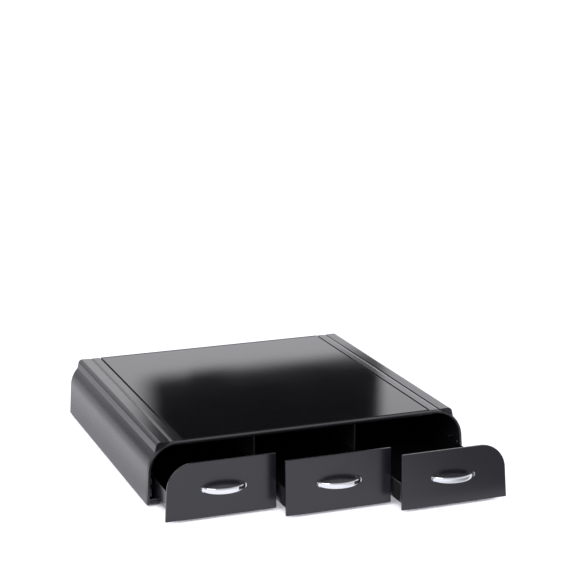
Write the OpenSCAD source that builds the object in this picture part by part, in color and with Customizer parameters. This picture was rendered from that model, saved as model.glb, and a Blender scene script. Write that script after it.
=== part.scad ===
// Coffee pod drawer: a low casing that stands under a coffee machine, with three
// side-by-side drawers for single-serve pods.
// Millimetres. X to the right, Y to the back, Z up. The origin is on the surface the
// casing stands on, under the middle of the casing.

/* [Casing] */
// Width of the casing across its lower edges
casing_w = 340; // [330:1:350]
// Depth of the casing from the front frame to the back
casing_d = 327; // [324:1:345]
// Height of the casing from its lower edge to the top of its front frame
casing_h = 61.4; // [61:0.2:68]
// Radius of the rounded shoulders
shoulder_r = 30; // [28:0.5:32]
// Angle at which the side walls lean in, in degrees
wall_lean = 3.6; // [2:0.1:4]
// Thickness of the side walls and of the front frame
shell_t = 3; // [2.6:0.1:3.2]
// Depth of the front frame
frame_d = 3.6; // [3.2:0.1:4.5]
// Thickness of the top, rear and base panels
panel_t = 2.6; // [2.2:0.1:2.8]

/* [Side rails] */
// Distance from the middle to the joint with the top panel
joint_x = 133.2; // [130:0.2:136]
// Distance from the middle to the inner top edge of the rail
step_x = 144; // [142:0.5:147]
// Distance from the middle to the outer top edge of the rail
crest_x = 156.9; // [155:0.1:157.4]
// Height of the band beside the top panel above the front frame
band_h = 0.1; // [0.1:0.1:0.6]
// Height of the slope from that band up to the rail
step_h = 0.35; // [0.2:0.05:0.6]
// Angle on the shoulder where the outer face of the rail stands, in degrees
rail_foot_angle = 43; // [42:0.5:45]

/* [Drawers] */
// Distance between the middles of two neighbouring drawers
bay_pitch = 108.2; // [108:0.1:109]
// Width of a tray
tray_w = 105.4; // [105:0.1:105.6]
// Height of the side and rear walls of a tray
tray_wall_h = 20; // [16:0.5:21]
// Height of the front wall of a tray
tray_front_h = 34; // [32:0.5:38]
// Thickness of the walls of a tray
tray_t = 1.6; // [1.2:0.1:1.8]
// Thickness of a drawer front
front_t = 2.5; // [2:0.1:2.6]
// Height of the top edge of a drawer front above the lower edge of the casing
front_top = 56.6; // [54:0.2:57]
// How far the left drawer stands open
left_open = 53; // [0:0.5:200]
// How far the middle drawer stands open
middle_open = 79.2; // [0:0.1:200]
// How far the right drawer stands open
right_open = 105; // [0:0.5:200]
// How far a drawer pulls out before its stop meets the base
pull_out = 235; // [210:1:250]

/* [Handles] */
// Width of a handle across its ends
handle_w = 46.4; // [42:0.2:50]
// How far a handle stands out from the drawer front
handle_out = 14; // [12:0.5:16]
// Height of the band of a handle
handle_h = 5.8; // [5:0.1:7]
// Thickness of the band of a handle
handle_t = 3; // [2.6:0.1:3.4]
// Height of the middle of a handle above the lower edge of the casing
handle_z = 29.3; // [27:0.1:31]

/* [Feet and screws] */
// Height of the rubber feet
foot_h = 2; // [1.5:0.1:3]
// Radius of the rubber feet
foot_r = 8; // [6:0.5:9]
// Radius of the thread of every screw
screw_r = 1.25; // [1.1:0.05:1.3]

/* [Hidden] */
$fn = 72;

shell_color = "#2c2c2f";
tray_color = "#232326";
chrome_color = "#d6d8db";
rubber_color = "#161617";
screw_color = "#8d8f94";

// Gaps: between pieces that are fixed together, and around pieces that slide
seam = 0.2;
slide_gap = 0.5;
past = 1;

// Gaps of the screws: threads in their bores, shanks and heads in the plates they hold
thread_gap = 0.08;
shank_gap = 0.25;
head_gap = 0.15;

front_y = -casing_d / 2;
rear_y = casing_d / 2;
frame_back_y = front_y + frame_d;

// Tongues behind the frame, which lie against the inside of the panels
tongue_spans = [[8, 16], [20, 26]];
tongue_t = 1.4;
tongue_l = 6;

// Top: the panel lies on ledges, a little above the front frame
joint_gap = 1.1;
panel_rise = 0.3;
top_z = casing_h + panel_rise;
under_top_z = top_z - panel_t;
ledge_t = 2.3;
ledge_w = 8;
ledge_z = under_top_z - ledge_t;
rear_panel_y = rear_y - panel_t;
top_rib_x = 15;
top_rib_h = 1.8;
top_rib_front = 8;
top_rib_rear = 3;

// Band beside the top panel, and the rail on the shoulder outside it
band_z = casing_h + band_h;
step_run = 2.4;
rail_top_z = band_z + step_h;
rail_fall = 0.45;
crest_z = rail_top_z - rail_fall;
crest_drop = 0.75;
crest_in = 0.9;
rail_sink = 1;

// Base, runners and the flanges that stand on the base
runner_h = 3.2;
runner_w = 3;
runner_x = 36;
flange_t = 2.2;
side_flange_x = 153;
runner_play = 0.3;
tray_z = panel_t + runner_h + runner_play;
base_half_w = casing_w / 2 - shell_t / cos(wall_lean) - 3 * seam;
base_front_y = front_y + front_t + 3 * seam;
bay_setback = 13.5;
bay_front_y = front_y + bay_setback;
bay_rear_y = rear_panel_y - slide_gap;

// Dividers
divider_t = bay_pitch - tray_w - 2 * slide_gap;
divider_x = bay_pitch / 2;
divider_foot_w = 12;
divider_foot_setback = 2;
divider_rib_setback = 6;

// Ribs that guide the trays and keep their walls down
rib_t = 1.6;
hold_down_gap = 0.6;
hold_down_z = tray_z + tray_wall_h + hold_down_gap;
hold_down_over = 1.4;
guide_up = 6;
guide_z = tray_z + guide_up;
outer_tray_x = bay_pitch + tray_w / 2;

// Trays, drawn closed and then moved to where they stand open
tray_floor_t = 1.8;
tray_front_t = 2;
tray_front_y = front_y + front_t;
tray_rear_gap = 3.9;
tray_rear_y = rear_panel_y - tray_rear_gap;
tray_corner_r = 5;
front_wall_w = 100;
front_wall_r = 6;
front_bottom = 0.6;
front_gap = 0.4;
front_side_gap = 0.4;
front_corner_r = 26.5;
middle_front_over = 0.3;
middle_front_half = divider_x + middle_front_over;

// Stops: a pad on the base, and a tab under each tray that meets it
stop_w = 24;
stop_setback = 3;
stop_pad_l = 4;
stop_y = base_front_y + stop_setback + stop_pad_l;
stop_gap = 0.4;
stop_tab_l = 2.5;
stop_tab_y = stop_y + pull_out + stop_gap;
stop_clear = 0.6;

// Handles: the band is an arc in plan, with a foot at each end
handle_r = (pow(handle_w / 2, 2) + pow(handle_out, 2)) / (2 * handle_out);
handle_edge_r = 1.1;
handle_foot_r = 2.7;
handle_foot_in = 0.5;
handle_foot_x = handle_w / 2 - handle_foot_r - handle_foot_in;
handle_foot_l = 3;
handle_bore_end = 0.4;

// Screws
bore_r = screw_r + thread_gap;
clearance_r = screw_r + shank_gap;
head_r = 2.7;
head_h = 1.5;
screw_tip = 0.6;
screw_ys = [-140, 0, 140];
side_screw_x = 158.5;
divider_screw_in = 3.6;
divider_screw_x = divider_x - divider_screw_in;
foot_x = 148;
foot_y = 146;

// Carries a flat profile, drawn in X and Z, from one Y to another
module along_y(y0, y1) {
    translate([0, y1, 0])
        rotate([90, 0, 0])
            linear_extrude(y1 - y0)
                children();
}

// A rectangle from corner to corner in the plane of the profiles
module span(x0, z0, x1, z1) {
    translate([x0, z0])
        square([x1 - x0, z1 - z0]);
}

// A block from corner to corner
module block(x0, y0, z0, x1, y1, z1) {
    translate([x0, y0, z0])
        cube([x1 - x0, y1 - y0, z1 - z0]);
}

// A rectangle w by h around the origin with round corners
module rounded(w, h, r) {
    square([w - 2 * r, h], center = true);
    square([w, h - 2 * r], center = true);
    for (x = [-1, 1], z = [-1, 1])
        translate([x * (w / 2 - r), z * (h / 2 - r)])
            circle(r);
}

// Front outline of the casing: leaning walls that run tangent into round shoulders.
// inset moves the walls in, r is the shoulder radius, drop carries the walls below Z 0.
module arch(inset, r, top, drop = 0) {
    centre_z = top - r;
    lower_x = casing_w / 2 - inset / cos(wall_lean);
    centre_x = lower_x - (r + centre_z * sin(wall_lean)) / cos(wall_lean);
    tangent = [centre_x + r * cos(wall_lean), centre_z + r * sin(wall_lean)];
    foot = [lower_x + drop * tan(wall_lean), -drop];
    polygon([[-foot.x, foot.y], foot, tangent, [centre_x, top],
             [-centre_x, top], [-tangent.x, tangent.y]]);
    for (side = [-1, 1])
        translate([side * centre_x, centre_z])
            circle(r);
}

module outer_arch() {
    arch(0, shoulder_r, casing_h);
}

module inner_arch(extra = 0) {
    arch(shell_t + extra, shoulder_r - shell_t - extra, casing_h - shell_t - extra, past);
}

// Raises what is drawn from the lower edge of the casing onto its feet
module on_feet() {
    translate([0, 0, foot_h])
        children();
}

module mirrored(side) {
    if (side < 0)
        mirror([1, 0, 0]) children();
    else
        children();
}

// ---- Front frame -------------------------------------------------------------

// A tongue beside the right-hand leg of the frame, from z0 up to z1
module frame_tongue(y0, z0, z1) {
    tongue_x = casing_w / 2 - shell_t - z1 * tan(wall_lean) - 2 * seam;
    block(tongue_x - tongue_t, y0, z0, tongue_x + shell_t / 2, frame_back_y, z1);
    block(tongue_x - tongue_t, y0, z0, tongue_x, frame_back_y + tongue_l, z1);
}

module front_frame() {
    lip_y = front_y + front_t + 2 * seam;
    lip_half = joint_x - ledge_w - seam;
    color(shell_color) on_feet() {
        along_y(front_y, frame_back_y)
            difference() {
                outer_arch();
                inner_arch();
            }
        block(-lip_half, lip_y, ledge_z, lip_half, frame_back_y, casing_h - shell_t / 2);
        block(-lip_half, lip_y, ledge_z, lip_half, frame_back_y + tongue_l, under_top_z);
        for (side = [-1, 1], z = tongue_spans)
            mirrored(side) frame_tongue(lip_y, z[0], z[1]);
    }
}

// ---- Side panels -------------------------------------------------------------

// Wall, shoulder and rail of the right-hand side, in X and Z
module side_shell() {
    centre = [casing_w / 2 - (shoulder_r + (casing_h - shoulder_r) * sin(wall_lean)) / cos(wall_lean),
              casing_h - shoulder_r];
    rail_foot = centre + shoulder_r * [cos(rail_foot_angle), sin(rail_foot_angle)];
    rail_root = centre + (shoulder_r - rail_sink) * [cos(rail_foot_angle), sin(rail_foot_angle)];
    difference() {
        union() {
            intersection() {
                outer_arch();
                span(joint_x, -past, casing_w, casing_h + past);
            }
            polygon([[joint_x, under_top_z - past], [joint_x, band_z], [step_x - step_run, band_z],
                     [step_x, rail_top_z], [crest_x - crest_in, crest_z],
                     [crest_x, crest_z - crest_drop], rail_foot, rail_root]);
        }
        inner_arch();
    }
}

module side_panel() {
    inner_x = casing_w / 2 - shell_t - past;
    flange_z = panel_t + seam;
    difference() {
        union() {
            along_y(frame_back_y + seam / 2, rear_y)
                side_shell();
            along_y(frame_back_y + seam / 2, rear_panel_y - seam)
                intersection() {
                    union() {
                        span(joint_x - ledge_w, ledge_z, joint_x + shell_t, under_top_z);
                        span(side_flange_x, flange_z, inner_x + shell_t, flange_z + flange_t);
                    }
                    outer_arch();
                }
            along_y(bay_front_y, bay_rear_y)
                intersection() {
                    union() {
                        span(outer_tray_x + slide_gap, guide_z, inner_x + shell_t, guide_z + rib_t);
                        span(outer_tray_x - hold_down_over, hold_down_z, inner_x + shell_t,
                             hold_down_z + rib_t);
                    }
                    outer_arch();
                }
        }
        for (y = screw_ys)
            translate([side_screw_x, y, 0])
                cylinder(h = guide_z, r = bore_r);
    }
}

module left_side_panel() {
    color(shell_color) on_feet() mirrored(-1) side_panel();
}

module right_side_panel() {
    color(shell_color) on_feet() side_panel();
}

// ---- Top, rear and base panels -------------------------------------------------

module top_panel() {
    half_w = joint_x - joint_gap;
    rib_xs = [for (bay = [-1:1], side = [-1, 1]) bay * bay_pitch + side * top_rib_x];
    color(shell_color) on_feet() {
        block(-half_w, frame_back_y + joint_gap, under_top_z,
              half_w, rear_panel_y - joint_gap, top_z);
        for (x = rib_xs)
            block(x - rib_t / 2, frame_back_y + top_rib_front, under_top_z - top_rib_h,
                  x + rib_t / 2, rear_panel_y - top_rib_rear, under_top_z + seam);
    }
}

module rear_panel() {
    color(shell_color) on_feet()
        along_y(rear_panel_y, rear_y) {
            intersection() {
                inner_arch(seam);
                span(-casing_w, 0, casing_w, under_top_z);
            }
            span(-(joint_x - joint_gap), casing_h / 2, joint_x - joint_gap, top_z);
        }
}

module countersunk_hole() {
    translate([0, 0, -past]) {
        cylinder(h = panel_t + 2 * past, r = clearance_r);
        cylinder(h = past + head_gap, r = head_r + head_gap);
    }
    translate([0, 0, head_gap])
        cylinder(h = head_h, r1 = head_r + head_gap, r2 = clearance_r);
}

module at_base_screws() {
    for (side = [-1, 1], y = screw_ys, x = [side_screw_x, divider_screw_x])
        translate([side * x, y, 0])
            children();
}

module base_panel() {
    color(shell_color) on_feet()
        difference() {
            union() {
                block(-base_half_w, base_front_y, 0, base_half_w, rear_panel_y - seam, panel_t);
                for (bay = [-1:1]) {
                    for (side = [-1, 1])
                        translate([bay * bay_pitch + side * runner_x, 0, 0])
                            runner();
                    block(bay * bay_pitch - stop_w / 2, stop_y - stop_pad_l, panel_t - seam,
                          bay * bay_pitch + stop_w / 2, stop_y, tray_z - stop_clear);
                }
            }
            at_base_screws() countersunk_hole();
        }
}

// A rib with round ends that a tray slides on
module runner() {
    y0 = bay_front_y + runner_w;
    y1 = bay_rear_y - runner_w;
    top = panel_t + runner_h;
    block(-runner_w / 2, y0, panel_t - seam, runner_w / 2, y1, top);
    for (y = [y0, y1])
        translate([0, y, panel_t - seam])
            cylinder(h = runner_h + seam, r = runner_w / 2);
}

// ---- Dividers ------------------------------------------------------------------

module divider() {
    web_rib = divider_t / 2 + slide_gap + hold_down_over;
    translate([divider_x, 0, 0])
        difference() {
            union() {
                along_y(bay_front_y + divider_t / 2, rear_panel_y - seam)
                    span(-divider_t / 2, panel_t, divider_t / 2, under_top_z);
                translate([0, bay_front_y + divider_t / 2, panel_t])
                    cylinder(h = under_top_z - panel_t, r = divider_t / 2);
                along_y(bay_front_y + divider_foot_setback, rear_panel_y - seam)
                    span(-divider_foot_w / 2, panel_t, divider_foot_w / 2, panel_t + flange_t);
                along_y(bay_front_y + divider_rib_setback, bay_rear_y)
                    span(-web_rib, hold_down_z, web_rib, hold_down_z + rib_t);
            }
            for (y = screw_ys)
                translate([divider_screw_x - divider_x, y, 0])
                    cylinder(h = guide_z, r = bore_r);
        }
}

module left_divider() {
    color(shell_color) on_feet() mirrored(-1) divider();
}

module right_divider() {
    color(shell_color) on_feet() divider();
}

// ---- Feet and base screws -------------------------------------------------------

// A disc with a rounded lower edge
module rubber_foot(side_x, side_y) {
    edge = 0.8;
    color(rubber_color)
        translate([side_x * foot_x, side_y * foot_y, 0])
            rotate_extrude() {
                span(0, 0, foot_r - edge, foot_h);
                span(0, edge, foot_r, foot_h);
                translate([foot_r - edge, edge])
                    circle(edge);
            }
}

module front_left_foot() { rubber_foot(-1, -1); }
module front_right_foot() { rubber_foot(1, -1); }
module rear_left_foot() { rubber_foot(-1, 1); }
module rear_right_foot() { rubber_foot(1, 1); }

module base_screws() {
    color(screw_color) on_feet()
        at_base_screws()
            translate([0, 0, seam]) {
                cylinder(h = head_h - head_gap, r1 = head_r, r2 = screw_r);
                cylinder(h = panel_t + flange_t + screw_tip, r = screw_r);
            }
}

// ---- Drawers -------------------------------------------------------------------

// Places a drawer: bay -1, 0 or 1 from left to right, pulled out of the casing by open
module in_bay(bay, open) {
    on_feet()
        translate([bay * bay_pitch, -open, 0])
            children();
}

// Outline of a tray in plan, grown inwards by inset
module tray_plan(inset, y0) {
    l = tray_rear_y - inset - y0;
    translate([0, y0 + l / 2])
        rounded(tray_w - 2 * inset, l, tray_corner_r - inset);
}

// A tray: low walls with round corners, a taller front wall, and the stop tab below
module tray() {
    front_wall_z = tray_z + tray_front_h / 2;
    color(tray_color)
        difference() {
            union() {
                translate([0, 0, tray_z])
                    linear_extrude(tray_wall_h)
                        tray_plan(0, tray_front_y);
                along_y(tray_front_y, tray_front_y + tray_front_t)
                    translate([0, front_wall_z])
                        rounded(front_wall_w, tray_front_h, front_wall_r);
                block(-stop_w / 2, stop_tab_y, panel_t + stop_clear,
                      stop_w / 2, stop_tab_y + stop_tab_l, tray_z + seam);
            }
            translate([0, 0, tray_z + tray_floor_t])
                linear_extrude(tray_front_h)
                    tray_plan(tray_t, tray_front_y + tray_front_t);
            at_handle_screws()
                cylinder(h = tray_front_t + front_t + 2 * past, r = clearance_r, center = true);
        }
}

// Axes of the two handle screws, along Y, at the back of the drawer front
module at_handle_screws() {
    for (side = [-1, 1])
        translate([side * handle_foot_x, tray_front_y, handle_z])
            rotate([90, 0, 0])
                children();
}

module front_plate() {
    color(shell_color)
        difference() {
            along_y(front_y, front_y + front_t)
                children();
            at_handle_screws()
                cylinder(h = 2 * front_t + past, r = clearance_r, center = true);
        }
}

module middle_outline() {
    span(-middle_front_half, front_bottom, middle_front_half, front_top);
}

// The outer fronts follow the wall and shoulder of the casing
module outer_outline() {
    translate([-bay_pitch, 0])
        intersection() {
            arch(shell_t + front_side_gap, front_corner_r, front_top);
            span(middle_front_half + front_gap, front_bottom, casing_w, casing_h);
        }
}

// A bow handle: a rounded band swept round an arc, cut off flat at the drawer front
module handle() {
    centre_y = front_y - handle_out + handle_r;
    color(chrome_color)
        difference() {
            intersection() {
                union() {
                    translate([0, centre_y, handle_z])
                        rotate_extrude()
                            translate([handle_r - handle_t / 2, 0])
                                rounded(handle_t, handle_h, handle_edge_r);
                    for (side = [-1, 1])
                        translate([side * handle_foot_x, front_y, handle_z])
                            rotate([90, 0, 0])
                                cylinder(h = handle_foot_l, r = handle_foot_r);
                }
                block(-handle_w, front_y - 2 * handle_out, 0, handle_w, front_y, casing_h);
            }
            at_handle_screws()
                cylinder(h = front_t + handle_foot_l - handle_bore_end, r = bore_r);
        }
}

// Pan-head screws, put in from inside the tray through its front wall and the front
module handle_screws() {
    head_y = tray_front_y + tray_front_t;
    color(screw_color)
        for (side = [-1, 1])
            translate([side * handle_foot_x, head_y, handle_z])
                rotate([90, 0, 0]) {
                    translate([0, 0, -head_h])
                        cylinder(h = head_h, r = head_r);
                    translate([0, 0, -past])
                        cylinder(h = past + tray_front_t + front_t + handle_foot_l - 2 * handle_bore_end,
                                 r = screw_r);
                }
}

module left_tray() { in_bay(-1, left_open) tray(); }
module left_front() { in_bay(-1, left_open) mirror([1, 0, 0]) front_plate() outer_outline(); }
module left_handle() { in_bay(-1, left_open) handle(); }
module left_handle_screws() { in_bay(-1, left_open) handle_screws(); }

module middle_tray() { in_bay(0, middle_open) tray(); }
module middle_front() { in_bay(0, middle_open) front_plate() middle_outline(); }
module middle_handle() { in_bay(0, middle_open) handle(); }
module middle_handle_screws() { in_bay(0, middle_open) handle_screws(); }

module right_tray() { in_bay(1, right_open) tray(); }
module right_front() { in_bay(1, right_open) front_plate() outer_outline(); }
module right_handle() { in_bay(1, right_open) handle(); }
module right_handle_screws() { in_bay(1, right_open) handle_screws(); }

front_frame();
left_side_panel();
right_side_panel();
top_panel();
rear_panel();
base_panel();
left_divider();
right_divider();
base_screws();
front_left_foot();
front_right_foot();
rear_left_foot();
rear_right_foot();
left_tray();
left_front();
left_handle();
left_handle_screws();
middle_tray();
middle_front();
middle_handle();
middle_handle_screws();
right_tray();
right_front();
right_handle();
right_handle_screws();
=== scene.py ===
"""Looks of a low casing with three sliding drawers for coffee pods.

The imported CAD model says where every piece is. Each piece that shows is a surface worked out here with
numpy, with the rounded edges and crowned forms of the real mouldings, and it stands for its CAD node. The
base panel and the dividers keep their CAD meshes and get a finish only. Lengths are in metres.
"""
import logging
import math
from dataclasses import dataclass, field
from enum import Enum
from typing import Any

import bpy
import numpy as np
from mathutils import Matrix, Vector


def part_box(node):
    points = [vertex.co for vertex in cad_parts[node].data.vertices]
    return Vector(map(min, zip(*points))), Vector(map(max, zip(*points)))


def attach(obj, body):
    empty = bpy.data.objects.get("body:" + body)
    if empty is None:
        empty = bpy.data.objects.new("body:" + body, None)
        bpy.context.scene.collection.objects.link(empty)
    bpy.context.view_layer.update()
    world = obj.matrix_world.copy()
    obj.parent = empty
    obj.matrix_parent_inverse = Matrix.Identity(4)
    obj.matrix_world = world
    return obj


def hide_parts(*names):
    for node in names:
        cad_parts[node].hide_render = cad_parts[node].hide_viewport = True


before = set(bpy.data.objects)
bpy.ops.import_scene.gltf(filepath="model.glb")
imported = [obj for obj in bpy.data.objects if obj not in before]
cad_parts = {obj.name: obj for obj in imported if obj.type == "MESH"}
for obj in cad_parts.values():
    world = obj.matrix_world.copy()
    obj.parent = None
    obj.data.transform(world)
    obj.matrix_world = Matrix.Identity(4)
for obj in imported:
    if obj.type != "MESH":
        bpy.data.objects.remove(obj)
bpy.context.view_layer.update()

LOG = logging.getLogger("pod_drawers")
Array = np.ndarray
Pair = tuple[float, float]
Place = tuple[float, float, float]
Material = bpy.types.Material
Node = bpy.types.Node
NodeTree = bpy.types.NodeTree
Socket = bpy.types.NodeSocket

MM = 0.001
HOLD = 0.06 * MM  # width of the strips beside each rounding, which keep the flat faces shaded flat
BAR_EDGE = 0.3 * MM  # rounding of ribs, flanges, lips and tabs
ARC_STEPS = 14  # points round a corner of an outline
FINE_ARC_STEPS = 2 * ARC_STEPS  # the same where the corner shows as a large curve
EDGE_STEPS = 5  # points across a rounded edge
NOISE_SPAN = (0.3, 0.7)  # where nearly all values of a noise lie


# ---- Shared shapes -----------------------------------------------------------------------------------------


class Axis(Enum):
    """The axis that a flat outline is carried along, as the places of the outline's x, its y and the axis."""

    Y = (0, 2, 1)
    Z = (0, 1, 2)

    def rings(self, across: Array, up: Array, along: Array) -> Array:
        """Puts an outline's coordinates and its place along the axis in the order x, y, z.

        Args:
            across: The outline's x, for each ring and point.
            up: The outline's y.
            along: Its place along the axis.

        Returns:
            An array of rings, points and coordinates.
        """
        parts = np.broadcast_arrays(across, up, along)
        return np.stack([parts[self.value.index(place)] for place in range(3)], axis=-1)


class Side(Enum):
    """A side of the casing, as the sign of X."""

    LEFT = -1
    RIGHT = 1


class Bay(Enum):
    """A drawer's bay, as how many pitches it lies to the right of the middle."""

    LEFT = -1
    MIDDLE = 0
    RIGHT = 1

    def named(self, part: str) -> str:
        """The name of a part of this bay's drawer in the CAD model."""
        return f"{self.name.lower()}_{part}"


def rounded_outline(corners: list[Pair], radii: list[float], steps: int = ARC_STEPS) -> Array:
    """Rounds the corners of a closed outline.

    At a corner P with unit directions a and b to its neighbours, the arc of radius r touches both sides at a
    distance r / tan(half) from P, where half is half the angle between a and b. Its points are
    centre + (sin((1 - s) f) v0 + sin(s f) v1) / sin(f), where v0 and v1 are the radii to its ends and f is
    the angle between them. A point just outside each end of the arc keeps the straight stretches shaded flat.

    Args:
        corners: The corners in order.
        radii: The radius at each corner.
        steps: How many points an arc has.

    Returns:
        The points of the outline, one row each, anticlockwise.
    """
    p = np.asarray(corners, float)
    r = np.asarray(radii, float)[:, None]
    a = np.roll(p, 1, axis=0) - p
    b = np.roll(p, -1, axis=0) - p
    a /= np.linalg.norm(a, axis=1, keepdims=True)
    b /= np.linalg.norm(b, axis=1, keepdims=True)
    half = np.arccos(np.clip(np.sum(a * b, axis=1), -1, 1))[:, None] / 2
    run = r / np.tan(half)
    middle = (a + b) / np.linalg.norm(a + b, axis=1, keepdims=True)
    centre = p + middle * r / np.sin(half)
    v0 = p + a * run - centre
    v1 = p + b * run - centre
    f = (math.pi - 2 * half)[:, None, :]
    s = np.linspace(0, 1, steps)[None, :, None]
    arc = centre[:, None] + (np.sin((1 - s) * f) * v0[:, None] + np.sin(s * f) * v1[:, None]) / np.sin(f)
    start = (p + a * (run + HOLD))[:, None]
    end = (p + b * (run + HOLD))[:, None]
    points = np.concatenate([start, arc, end], axis=1).reshape(-1, 2)
    return points if signed_area(points) > 0 else points[::-1]


def rounded_rectangle(low: Pair, high: Pair, radius: float, steps: int = ARC_STEPS) -> Array:
    """A rectangle with its four corners rounded alike.

    Args:
        low: Its low corner.
        high: Its high corner.
        radius: The radius of its corners.
        steps: How many points a corner has.

    Returns:
        The points of the outline, one row each, anticlockwise.
    """
    (x0, y0), (x1, y1) = low, high
    return rounded_outline([(x0, y0), (x1, y0), (x1, y1), (x0, y1)], [radius] * 4, steps)


def both_sides(right: list[Pair]) -> list[Pair]:
    """Corners on the right, and after them their mirror images in X, in the order that goes on round."""
    return [*right, *((-x, z) for x, z in reversed(right))]


def tight_corner(edge: float) -> float:
    """The least radius for an outline's corner that still holds the rounding of the outline's ends."""
    return edge + 2 * HOLD


def signed_area(outline: Array) -> float:
    """Half the sum of the cross products of neighbouring points: positive when they run anticlockwise."""
    after = np.roll(outline, -1, axis=0)
    return float(np.sum(outline[:, 0] * after[:, 1] - outline[:, 1] * after[:, 0])) / 2


def inward_steps(outline: Array) -> Array:
    """The step of each point of an anticlockwise outline that moves both of its sides in by one unit.

    It is the sum of the two sides' inward normals over one plus their dot product.

    Args:
        outline: The points, one row each.

    Returns:
        The steps, one row each.
    """
    along = np.roll(outline, -1, axis=0) - outline
    along /= np.maximum(np.linalg.norm(along, axis=1, keepdims=True), 1e-12)
    after = np.stack([-along[:, 1], along[:, 0]], axis=1)
    before = np.roll(after, 1, axis=0)
    return (before + after) / (1 + np.sum(before * after, axis=1, keepdims=True))


def quarter_round(radius: float, steps: int = EDGE_STEPS) -> Array:
    """A quarter circle in a right-angled corner.

    Its distances from the corner's two sides are radius (1 - sin t) and radius (1 - cos t), with t from 0 to
    a right angle.

    Args:
        radius: Its radius.
        steps: How many points it has.

    Returns:
        Rows of the two distances.
    """
    t = np.linspace(0, math.pi / 2, steps)
    return radius * np.stack([1 - np.sin(t), 1 - np.cos(t)], axis=1)


def edge_profile(low: float, high: float, low_edge: float, high_edge: float) -> Array:
    """How far an extruded outline is drawn in, and where, from its low end to its high end.

    Args:
        low: The place of the low end along the axis.
        high: The place of the high end.
        low_edge: The radius of the quarter circle at the low end.
        high_edge: The radius at the high end.

    Returns:
        Rows of (inset, place along the axis).
    """
    def rounded_end(edge: float) -> Array:
        """One rounded end as rows of (inset, distance from the end)."""
        return np.concatenate([[[edge + HOLD, 0.0]], quarter_round(edge), [[0.0, edge + HOLD]]])

    first, last = rounded_end(low_edge), rounded_end(high_edge)[::-1]
    first[:, 1] += low
    last[:, 1] = high - last[:, 1]
    return np.concatenate([first, last])


def placed(name: str, data: bpy.types.ID) -> bpy.types.Object:
    """Puts a new object in the scene.

    Args:
        name: Its name.
        data: Its mesh, light or camera.

    Returns:
        The object.
    """
    made = bpy.data.objects.new(name, data)
    bpy.context.scene.collection.objects.link(made)
    return made


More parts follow.
